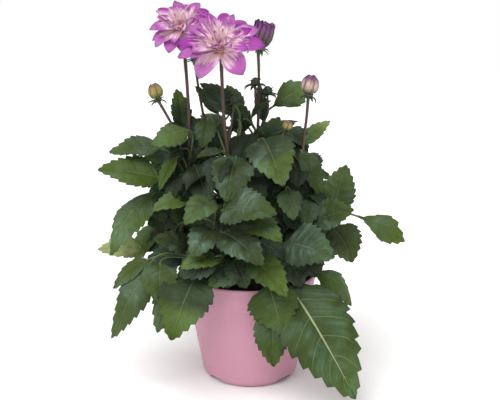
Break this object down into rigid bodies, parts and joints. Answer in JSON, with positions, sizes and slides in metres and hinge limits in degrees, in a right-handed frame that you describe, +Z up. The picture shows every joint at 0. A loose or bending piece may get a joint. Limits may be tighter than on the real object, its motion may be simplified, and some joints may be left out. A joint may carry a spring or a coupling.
{
  "type": "potted dahlia",
  "caption": "Bushy dahlia plant with open purple flowers and closed buds, growing from soil in a tapered pink plastic pot.",
  "frame": {"origin": "centre of the pot's flat underside, at the height that it stands on", "axes": "+Z up the plant; -Y towards the plant's front, where the large flower looks; +X to the right as seen from the front"},
  "size_m": [0.3512, 0.2721, 0.4324],
  "materials": {
    "pot_plastic": "satin",
    "soil": "matte",
    "foliage": "satin",
    "petals": "matte",
    "eye": "matte",
    "purple_bud": "satin",
    "cream_bud": "satin",
    "yellow_bud": "satin"
  },
  "bodies": {
    "root": {"pot": "pot_plastic", "soil": "soil", "stem_left": "foliage", "stem_front_left": "foliage", "stem_centre": "foliage", "stem_front_right": "foliage", "stem_right": "foliage", "stem_back_left": "foliage", "stem_back_right": "foliage", "bloom_front": "petals", "bloom_front_eye": "eye", "bloom_back": "petals", "bloom_back_eye": "eye", "bud_purple": "purple_bud", "bud_striped": "cream_bud", "bud_yellow": "yellow_bud", "bud_small": "cream_bud", "bud_hidden": "purple_bud"}
  },
  "joints": []
}
